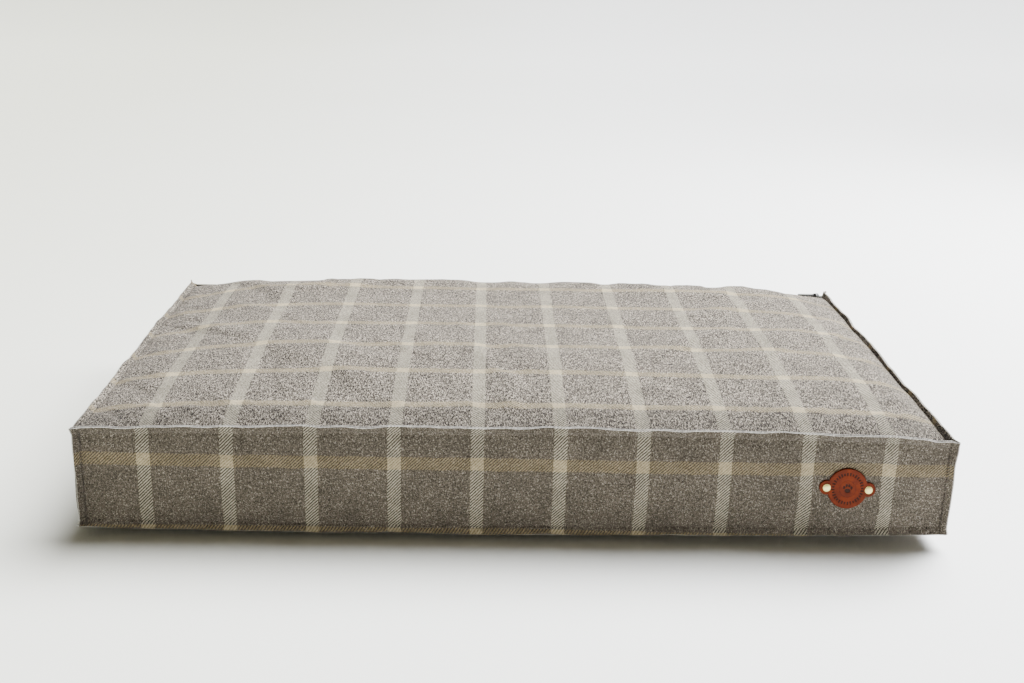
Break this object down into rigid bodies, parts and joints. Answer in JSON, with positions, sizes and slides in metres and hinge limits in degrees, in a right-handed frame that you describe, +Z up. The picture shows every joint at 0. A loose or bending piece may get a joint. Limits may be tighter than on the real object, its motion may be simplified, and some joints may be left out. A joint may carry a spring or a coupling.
{
  "type": "pet cushion bed",
  "caption": "Rectangular box-cushion pet bed: checked wool cover with flanged seams, back zip and riveted leather badge over a fibre-filled pad.",
  "frame": {"origin": "on the floor under the middle of the bed", "axes": "+X along the long side to the right as seen from the front, +Y towards the zipped back, +Z up"},
  "size_m": [0.9, 0.55, 0.1426],
  "materials": {
    "wool_check": "grey-brown wool twill with off-white and mustard check stripes",
    "thread": "matt grey-brown sewing thread",
    "zip_tape": "black woven polyester tape",
    "zip_coil": "black nylon coil",
    "zip_metal": "black lacquered zinc",
    "leather": "embossed tan leather with dark cut edge",
    "rivet_brass": "pale brushed brass",
    "cotton_casing": "undyed plain-woven cotton",
    "fibre": "loose white polyester fibre"
  },
  "bodies": {
    "root": {"top_panel": "wool_check", "bottom_panel": "wool_check", "front_band": "wool_check", "back_band": "wool_check", "left_band": "wool_check", "right_band": "wool_check", "topstitch_top": "thread", "topstitch_bottom": "thread", "topstitch_corners": "thread", "zip_tape_front": "zip_tape", "zip_tape_rear": "zip_tape", "zip_coil_front": "zip_coil", "zip_coil_rear": "zip_coil", "zip_top_stops": "zip_metal", "zip_bottom_stop": "zip_metal", "leather_badge": "leather", "rivet_caps": "rivet_brass", "rivet_posts": "rivet_brass", "pad_casing_top": "cotton_casing", "pad_casing_bottom": "cotton_casing", "pad_casing_boxing": "cotton_casing", "fibre_filling": "fibre"},
    "slider": {"zip_slider": "zip_metal"},
    "pull": {"zip_pull": "zip_metal"}
  },
  "joints": [
    {"name": "zip_slide", "type": "slide", "parent": "root", "child": "slider", "axis": [-1, 0, 0], "range_m": [0, 0.845]},
    {"name": "pull_hinge", "type": "hinge", "parent": "slider", "child": "pull", "pos_m": [0.4326, 0.2625, 0.1173], "axis": [0, 1, 0], "range_deg": [0, 150]}
  ]
}
